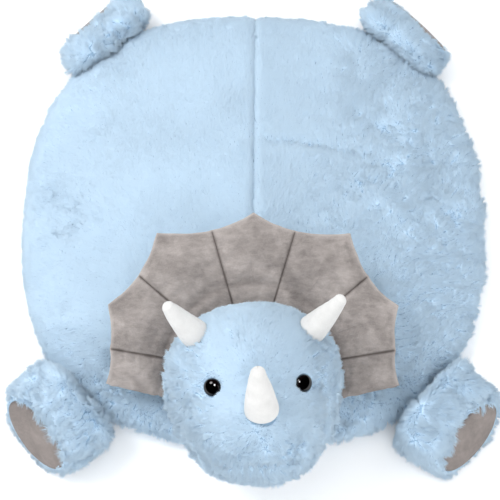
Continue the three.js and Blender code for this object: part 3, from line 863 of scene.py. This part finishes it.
# ---- Horns and eyes ----
def build_horn(name, material):
    shape, side = HORNS[name]
    origin, axis = horn_seat(name)
    length, radius, tip, bend = (shape[k] * MM for k in ("length", "radius", "tip", "bend"))
    shoulder = length - tip
    profile = [(0, 0), (0.5 * radius, 0), (0.93 * radius, 0), (0.99 * radius, 0.6 * MM)]
    for along in np.linspace(0.03, 1, 34):
        profile.append((radius + (tip - radius) * along**HORN_FULLNESS, shoulder * along))
    for turn in np.linspace(0.15, math.pi / 2, 9):
        profile.append((tip * math.cos(turn), shoulder + tip * math.sin(turn)))
    profile[-1] = (0, length)
    horn = lathe_object(f"{name}_cover", profile, 56)
    points = coordinates(horn.data)
    around = np.arctan2(points[:, 1], points[:, 0])
    share = np.clip(points[:, 2] / length, 0, 1)
    inside = np.linalg.norm(points[:, :2], axis=1) > 1e-5
    # a sewn seam down the back, with small puckers beside it, and the soft dents of a stuffed horn
    seam = hump(around - math.pi / 2, 0.09) * inside
    pucker = hump(around - math.pi / 2, 0.5) * np.sin(points[:, 2] / (1.6 * MM))
    dents = 0.9 * MM * noise(points, 22 * MM, 7.0 + side) + 0.25 * MM * pucker
    spread = unit(points * [1, 1, 0])
    points += spread * (dents - 1.2 * MM * seam)[:, None] * (share < 0.97)[:, None]
    points[:, 0] -= bend * share**2
    points[:, 2] = np.maximum(points[:, 2], 0.3 * MM)
    set_coordinates(horn.data, points)
    # painted shade: the seam's groove is painted darker
    point_values(horn, "seam_groove_shade", seam)
    horn.data.transform(seat_matrix(origin, axis, side))
    if side < 0:
        horn.data.flip_normals()
    settle(horn, "head", material)
    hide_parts(name, f"{name}_stuffing")


def build_eye(name, material):
    origin, axis = EYES[name]
    edge, shank, depth = 1.5 * MM, 2.6 * MM, 14 * MM
    profile = [(0, -depth), (shank, -depth), (shank, 0)]
    profile += [(EYE_RADIUS - 0.6 * MM, 0), (EYE_RADIUS, 0.4 * MM), (EYE_RADIUS, edge)]
    for turn in np.linspace(0.08, math.pi / 2, 20):
        profile.append((EYE_RADIUS * math.cos(turn), edge + (EYE_DOME - edge) * math.sin(turn)))
    profile[-1] = (0, EYE_DOME)
    eye = lathe_object(f"{name}_dome", profile, 64)
    points = coordinates(eye.data)
    point_values(eye, "ring", np.linalg.norm(points[:, :2], axis=1) / EYE_RADIUS)
    eye.data.transform(seat_matrix(origin, axis))
    settle(eye, "head", material)
    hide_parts(name)


# ---- Frill ----
def fan_knots():
    """The outline's tips and valleys as (angle, radius), across the whole fan."""
    half = sorted(FRILL_TIPS + FRILL_SEAMS)
    return [(-a, r) for a, r in reversed(half[1:])] + half


def outline_radius(degrees):
    """Radius of the scalloped edge: a shallow hollow between each tip and valley."""
    angles, radii = np.array(fan_knots(), float).T
    x, y = radii * np.sin(np.radians(angles)), radii * np.cos(np.radians(angles))
    found = np.zeros(len(degrees))
    for k in range(len(angles) - 1):
        inside = (degrees >= angles[k]) & (degrees <= angles[k + 1])
        d = np.radians(degrees[inside])
        # where the ray crosses the straight line between the two knots
        cross = x[k] * y[k + 1] - x[k + 1] * y[k]
        found[inside] = cross / (np.sin(d) * (y[k + 1] - y[k]) - np.cos(d) * (x[k + 1] - x[k]))
        share = (degrees[inside] - angles[k]) / (angles[k + 1] - angles[k])
        found[inside] = np.abs(found[inside]) - 3.5 * np.sin(math.pi * share) ** 0.8
    return np.abs(found) * MM


def fan_inner(degrees):
    """Points on the head's outline in the frill's plane, where the fan starts."""
    a, b = FRILL_HEAD_HOLE
    limit = FRILL_SEAMS[-1][0]
    d = np.radians(np.clip(degrees, -limit, limit))
    # ray from the fan's point against the ellipse x^2/a^2 + y^2/b^2 = 1
    p = (np.sin(d) / a) ** 2 + (np.cos(d) / b) ** 2
    q = FRILL_FAN_Y * np.cos(d) / b**2
    r = (FRILL_FAN_Y / b) ** 2 - 1
    t = (-q + np.sqrt(q * q - p * r)) / p
    x, y = t * np.sin(d), FRILL_FAN_Y + t * np.cos(d)
    turn = np.arctan2(x / a, y / b)
    last = np.clip((np.abs(degrees) - limit) / (FRILL_TIPS[-1][0] - limit), 0, 1)
    turn = turn * (1 - last) + np.sign(degrees) * FRILL_FOOT_ANGLE * last
    return np.stack([a * np.sin(turn), b * np.cos(turn)], axis=1)


def build_frill(material):
    seams = [-a for a, r in reversed(FRILL_SEAMS)] + [a for a, r in FRILL_SEAMS]
    knots = [a for a, r in fan_knots()]
    shares = np.array([0, 0.02, 0.06, 0.14, 0.26, 0.4, 0.55, 0.7, 0.84, 0.94, 0.98])
    degrees = np.concatenate([a + (b - a) * shares for a, b in zip(knots, knots[1:])] + [[knots[-1]]])
    rows = 34
    v = np.linspace(0, 1, rows)
    inner = fan_inner(degrees)
    d = np.radians(degrees)
    radius = outline_radius(degrees)
    outer = np.stack([radius * np.sin(d), FRILL_FAN_Y + radius * np.cos(d)], axis=1)
    flat = inner[:, None] + (outer - inner)[:, None] * v[None, :, None]

    off_seam = np.min([np.abs(degrees - s) for s in seams], axis=0)[:, None]
    distance = off_seam * np.linalg.norm(flat, axis=2) * math.pi / 180
    reach = np.linalg.norm(flat - [0, FRILL_FAN_Y], axis=2)
    from_edge = np.linalg.norm(outer[:, None] - flat, axis=2)
    from_end = (knots[-1] - np.abs(degrees))[:, None] / 14 * 40 * MM
    arc = np.abs(reach - FRILL_CREASE)
    puff = np.clip(distance / (14 * MM), 0, 1) ** 0.5
    puff = puff * np.clip(from_edge / (16 * MM), 0, 1) ** 0.5 * np.clip(from_end / (16 * MM), 0, 1) ** 0.5
    puff = puff * (0.55 + 0.45 * np.clip(arc / (12 * MM), 0, 1))
    half = 1.1 * MM + (FRILL_THICKNESS / 2 - 2.2 * MM) * puff
    sheets = []
    for side in (1, -1):
        z = FRILL_PLANE_Z + side * half
        sheets.append(np.concatenate([flat, z[:, :, None]], axis=2).reshape(-1, 3))
    points = to_world(np.concatenate(sheets), FRILL_TURN)
    faces = two_sheets(grid_faces(len(degrees), rows), len(degrees) * rows)
    frill = mesh_object("frill_quilted", points, faces)

    held = (distance < 1.2 * MM) | (v[None, :] < 0.03) | (v[None, :] > 0.99) | (arc < 2 * MM)
    # painted shade: darker along the quilting seams and, fainter, along the fold at the sewn arc round
    # the head
    seam_shade_lines = hump(distance, 1.2 * MM) * (v[None, :] < 0.985)
    crease = 0.35 * hump(arc, 3 * MM)
    # paler within a few millimetres of the outline
    pale_rim = 0.45 * hump(from_edge, 3 * MM)
    point_values(frill, "seam_groove_shade", np.tile(np.maximum(seam_shade_lines, crease).ravel(), 2))
    point_values(frill, "pale_outline", np.tile(pale_rim.ravel(), 2))
    inflate(frill, np.tile(held.ravel(), 2), pressure=2.0, frames=18, cap=7 * MM, slack=0.035)
    subdivide(frill)
    points = coordinates(frill.data)
    wrinkle = 0.8 * MM * noise(points, 16 * MM, 3.0) + 0.35 * MM * noise(points, 6 * MM, 6.0)
    set_coordinates(frill.data, points + normals_of(frill.data) * wrinkle[:, None])
    settle(frill, "frill", material)
    pads = [f"frill_pad_{k + 1}" for k in range(len(seams) + 1)]
    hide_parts("frill_front", "frill_back", *pads)


def subdivide(obj, levels=1):
    modifier = obj.modifiers.new("Subdivision", "SUBSURF")
    modifier.levels = modifier.render_levels = levels
    apply_modifier(obj, modifier)


def apply_modifier(obj, modifier):
    depsgraph = bpy.context.evaluated_depsgraph_get()
    evaluated = obj.evaluated_get(depsgraph)
    mesh = bpy.data.meshes.new_from_object(evaluated, preserve_all_data_layers=True, depsgraph=depsgraph)
    obj.modifiers.remove(modifier)
    obj.data = mesh


def inflate(obj, held, pressure, frames, cap, slack):
    """Cloth simulation: the closed piece swells between its held points, which are its stitches."""
    group = obj.vertex_groups.new(name="held")
    group.add([int(i) for i in np.flatnonzero(held)], 1.0, "REPLACE")
    before = coordinates(obj.data)
    cloth = obj.modifiers.new("Cloth", "CLOTH")
    settings = cloth.settings
    settings.quality = 6
    settings.mass = 0.25
    settings.tension_stiffness = settings.compression_stiffness = 12
    settings.shear_stiffness = 8
    settings.bending_stiffness = 0.4
    settings.use_pressure = True
    settings.uniform_pressure_force = pressure
    settings.vertex_group_mass = "held"
    settings.shrink_min = -slack
    settings.effector_weights.gravity = 0
    cloth.collision_settings.use_collision = False
    cloth.point_cache.frame_start, cloth.point_cache.frame_end = 1, frames
    scene = bpy.context.scene
    for f in range(1, frames + 1):
        scene.frame_set(f)
    apply_modifier(obj, cloth)
    scene.frame_set(1)
    swell = coordinates(obj.data) - before
    size = np.linalg.norm(swell, axis=1, keepdims=True)
    set_coordinates(obj.data, before + swell * np.minimum(1, cap / np.maximum(size, 1e-9)))
    obj.vertex_groups.clear()


# ---- Feet ----
def foot_frame(name):
    """Foot axes (x to the sole, z up) as a matrix in the row frame, from the foot's joint."""
    joint = JOINTS[f"{name}_lift"]
    x, y, _ = joint["pos_m"]
    facing = math.atan2(joint["axis"][0], -joint["axis"][1])
    return Matrix.Translation((x, y, 0)) @ Matrix.Rotation(facing, 4, "Z")


def sole_frame(name, depth=0.0):
    """Sole axes (x out of the sole, y across it, z up it) as a matrix in foot axes."""
    shape = FEET[name]
    out = shape["length"] - SOLE_SETBACK - shape["level"] * math.tan(SOLE_LEAN)
    turn = Matrix.Rotation(shape["twist"], 4, "Z") @ Matrix.Rotation(-SOLE_LEAN, 4, "Y")
    return Matrix.Translation((out, 0, shape["level"])) @ turn @ Matrix.Translation((-depth, 0, 0))


def moved(points, matrix):
    m = np.array(matrix)
    return points @ m[:3, :3].T + m[:3, 3]


def off_the_mat(points):
    """Points pushed out of the mat's rounded rim, away from the middle of its cross-section."""
    flat = points[:, :2] - MAT_CENTRE[:2]
    rim = mat_radius(np.arctan2(flat[:, 1], flat[:, 0])) + FOOT_CLEAR
    radius = np.linalg.norm(flat, axis=1)
    middle, half = MAT_RIM_TOP / 2, MAT_RIM_TOP / 2 + FOOT_CLEAR
    across, up = (radius - rim + MAT_RIM_WIDTH) / MAT_RIM_WIDTH, (points[:, 2] - middle) / half
    share = np.hypot(np.maximum(across, 0), up)
    push = np.where(across > -0.5, soft_floor(share, 1, 0.03) / np.maximum(share, 0.2), 1)
    radius = np.where(across > 0, rim - MAT_RIM_WIDTH + across * push * MAT_RIM_WIDTH, radius)
    flat = unit(flat) * radius[:, None]
    return np.column_stack([flat + MAT_CENTRE[:2], middle + up * push * half])


def foot_surface(name):
    shape = FEET[name]
    rays, faces = ball(6)
    reach = (np.abs(rays) ** shape["bluntness"]).sum(1) ** (-1 / shape["bluntness"])
    along = np.where(rays[:, 0] < 0, FOOT_WIDEST + FOOT_TUCK, shape["length"] - FOOT_WIDEST)
    wide, tall = shape["half_width"], shape["height"] - shape["level"]
    half = np.column_stack([along, np.full(len(along), wide), np.full(len(along), tall)])
    points = rays * reach[:, None] * (half - PILE_ROOM)
    lumps = 1.6 * MM * noise(points, 45 * MM, 1.0 + shape["height"])
    lumps += 0.8 * MM * noise(points, 20 * MM, 3.0)
    points += rays * (lumps + 2.2 * MM * waves(points + shape["twist"]))[:, None]
    x = FOOT_WIDEST + points[:, 0]
    points[:, 0] = x - points[:, 1] * math.tan(shape["twist"]) / shape["length"] * x
    points[:, 2] += shape["level"]
    points = moved(points, foot_frame(name))
    points[:, 2] = soft_floor(points[:, 2], 0.5 * MM, 1.5 * MM)
    sole = foot_frame(name) @ sole_frame(name, 2 * MM)
    at_sole = moved(off_the_mat(points), sole.inverted())
    at_sole[:, 0] = -soft_floor(-at_sole[:, 0], 0, 2 * MM)
    points = moved(at_sole, sole)
    points[:, 2] = np.maximum(points[:, 2], 0.5 * MM)
    return mesh_object(f"{name}_cover_cloth", points, faces)


def build_foot(name, materials, seed):
    cover = foot_surface(name)
    settle(cover, name, materials["plush"])
    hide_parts(f"{name}_cover", f"{name}_stuffing")
    sole_half = FEET[name]["sole"]
    to_sole = (foot_frame(name) @ sole_frame(name)).inverted()
    away = np.array(foot_frame(name).to_3x3() @ Vector((1, 0, -0.15)))

    def comb(points, normals):
        return np.broadcast_to(away, points.shape)

    def look(points, normals):
        local = moved(points, to_sole)
        over = smoothstep(local[:, 2], -0.2 * sole_half[1], 0.5 * sole_half[1])
        rim = np.maximum(smoothstep(-local[:, 0], 1 * MM, 14 * MM), over)
        rough = np.clip(0.75 + 0.4 * noise(points, 50 * MM, 8.0), 0, 1)
        lean = 0.95 + 0.2 * over * (1 - smoothstep(-local[:, 0], 4 * MM, 16 * MM))
        return (5 + (7 + 3 * rough) * rim) * MM, lean, 0.18 + 0.22 * rough, 6 * MM

    def keep(points, normals):
        local = moved(points, to_sole)
        oval = np.hypot(local[:, 1] / (sole_half[0] - 1 * MM), local[:, 2] / (sole_half[1] - 1 * MM))
        in_oval = (oval < 1) & (local[:, 0] > -6 * MM)
        on_floor = (points[:, 2] < 2.5 * MM) & (normals[:, 2] < -0.5)
        return ~in_oval & ~on_floor

    pile(f"{name}_pile", cover, name, comb, seed, look, keep)

    # the sole: a closed oval pad, domed and pulled in at its sewn edge
    rings, segments = 22, 72
    share = np.sin(np.linspace(0, math.pi / 2, rings))
    profile = [(s, -0.35) for s in share[:-1]] + [(1.0, 0.0)]
    profile += [(s, (1 - s**3.2) ** 0.6) for s in share[-2::-1]]
    sole = lathe_object(f"{name}_sole_pad", profile, segments)
    points = coordinates(sole.data)
    across, up, dome = points[:, 0] * sole_half[0], points[:, 1] * sole_half[1], points[:, 2]
    soft = noise(np.stack([across, up, dome * 0], axis=1) + seed, 22 * MM, 2.0)
    height = dome * 4.5 * MM - 1.5 * MM + np.where(dome > 0.3, 0.8 * MM * soft, 0)
    edge = smoothstep(np.linalg.norm(points[:, :2], axis=1), 0.93, 1.0)
    points = np.stack([height, across, up], axis=1)
    set_coordinates(sole.data, moved(points, foot_frame(name) @ sole_frame(name)))
    # painted shade round the pulled-in sewn edge
    point_values(sole, "seam_groove_shade", 0.5 * edge)
    settle(sole, name, materials["sole"])
    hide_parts(f"{name}_sole")


# ---- Stage, light and camera ----
FLOOR_HALF = 6.0
VIEW_CENTRE = Vector((0, MAT_CENTRE[1], 20 * MM))  # the camera stands 67 degrees up from here
CAMERA_TARGET = VIEW_CENTRE + Vector((-4.9, -39.2, -16.7)) * MM
CAMERA_ELEVATION = math.radians(67)
CAMERA_DISTANCE = 2.4
CAMERA_LENS = 117.5


def look_from(obj, location, target):
    obj.location = location
    obj.rotation_mode = "QUATERNION"
    obj.rotation_quaternion = (Vector(target) - Vector(location)).to_track_quat("-Z", "Y")


def build_stage():
    corners = [(x * FLOOR_HALF, y * FLOOR_HALF, 0) for x, y in ((-1, -1), (1, -1), (1, 1), (-1, 1))]
    floor = mesh_object("floor", corners, [(0, 1, 2, 3)])
    paint(floor, Material("floor_white", "#fcfcfc", 0.9).material)


def area_light(name, location, target, size, watts):
    light = bpy.data.lights.new(name, "AREA")
    light.shape = "DISK"
    light.size = size
    light.energy = watts
    obj = object_of(name, light)
    look_from(obj, location, target)
    return obj


def build_lights_and_camera():
    scene = bpy.context.scene
    world = bpy.data.worlds.new("studio")
    world.use_nodes = True
    background = world.node_tree.nodes["Background"]
    background.inputs["Color"].default_value = (0.97, 0.985, 1, 1)
    background.inputs["Strength"].default_value = 1.1
    scene.world = world
    area_light("key", (-1.7, 0.4, 2.5), (0, 0, 0), 1.2, 35)
    area_light("fill", (0.8, -1.8, 2.2), (0, 0, 0), 2.2, 20).visible_glossy = False
    # gloss, and so the eyes, shows this light as its highlight and not the plain white surround
    area_light("catch_light", (-0.3, -0.6, 2.7), (0, -0.25, 0.2), 0.7, 45).visible_diffuse = False
    world.cycles_visibility.glossy = False
    camera = object_of("camera", bpy.data.cameras.new("camera"))
    camera.data.lens = CAMERA_LENS
    camera.data.sensor_width = 36
    back = Vector((0, -math.cos(CAMERA_ELEVATION), math.sin(CAMERA_ELEVATION)))
    look_from(camera, VIEW_CENTRE + CAMERA_DISTANCE * back, CAMERA_TARGET)
    scene.camera = camera
    scene.view_settings.view_transform = "Standard"


# ---- The whole toy ----
MATERIALS = {
    "plush": plush_backing_painted_dark(),
    "short_plush": short_plush(),
    "frill": velour("grey_velour", "#625b58", "#837c78", "#aca4a0", "#c6bfbb"),
    "sole": velour("sole_velour", "#665f5c", "#7d7571", "#948b87", "#b5aeaa"),
    "felt": felt(),
    "eye": eye_plastic(),
    "washer": washer_plastic(),
}
build_stage()
build_lights_and_camera()
build_frill(MATERIALS["frill"])
build_mat(MATERIALS)
build_head(MATERIALS)
for horn_name in HORNS:
    build_horn(horn_name, MATERIALS["felt"])
for eye_name in EYES:
    build_eye(eye_name, MATERIALS["eye"])
    paint(frame["nodes"][eye_name.replace("eye_", "eye_washer_")], MATERIALS["washer"])
for index, foot_name in enumerate(FEET):
    build_foot(foot_name, MATERIALS, 60 + index)

bpy.context.view_layer.update()
